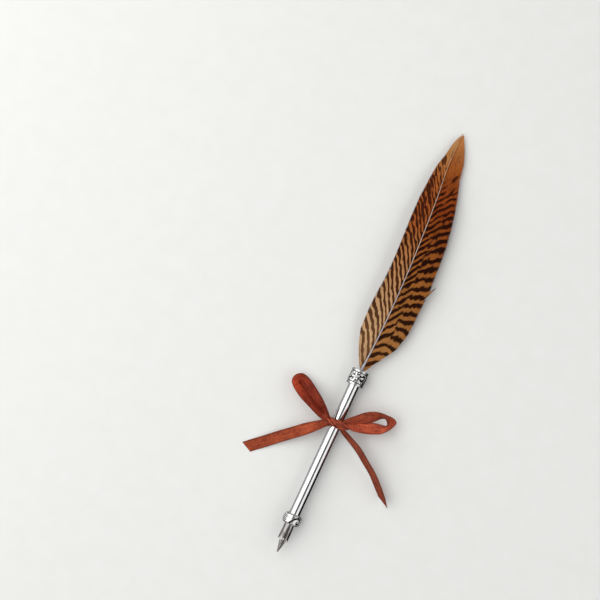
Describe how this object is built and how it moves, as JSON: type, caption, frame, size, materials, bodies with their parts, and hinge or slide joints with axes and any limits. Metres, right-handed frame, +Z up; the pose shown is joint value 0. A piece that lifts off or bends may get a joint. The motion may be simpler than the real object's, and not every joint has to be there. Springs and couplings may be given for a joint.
{
  "type": "quill pen",
  "caption": "Feather dip pen: a metal barrel with a push-in nib at one end, a glued feather at the other, and a satin bow tied round it.",
  "frame": {"origin": "bottom centre of the whole object's box, as the pen lies on a flat surface", "axes": "+Y along the pen from the nib to the feather's tip, +Z up from the surface that it lies on, +X to the right when the nib points to the viewer's feet"},
  "size_m": [0.0941, 0.274, 0.0135],
  "materials": {
    "polished_metal": "polished",
    "nib_steel": "bright rolled sheet",
    "antique_silver": "cast, with darkened recesses",
    "holder_steel": "plain",
    "bush_plastic": "moulded",
    "clear_glue": "clear, slightly yellow",
    "quill_keratin": "smooth horn",
    "feather_tan": "tan barbs with dark stripes",
    "feather_rust": "orange-brown barbs with dark bars",
    "satin_ribbon": "rust-coloured satin"
  },
  "bodies": {
    "pen": {"nib_holder": "holder_steel", "lower_collar": "antique_silver", "barrel": "polished_metal", "quill_bush": "bush_plastic", "upper_ferrule": "antique_silver", "adhesive_plug": "clear_glue", "quill_shaft": "quill_keratin", "vane_left": "feather_tan", "vane_right": "feather_rust"},
    "nib": {"nib": "nib_steel"},
    "bow": {"ribbon_wrap": "satin_ribbon", "ribbon_knot": "satin_ribbon", "ribbon_loop_left": "satin_ribbon", "ribbon_loop_right": "satin_ribbon", "ribbon_tail_left": "satin_ribbon", "ribbon_tail_right": "satin_ribbon"}
  },
  "joints": [
    {"name": "nib_pull_out", "type": "slide", "parent": "pen", "child": "nib", "axis": [0, -1, 0], "range_m": [0, 0.02]},
    {"name": "bow_slide", "type": "slide", "parent": "pen", "child": "bow", "axis": [0, 1, 0], "range_m": [-0.05, 0.018]}
  ]
}
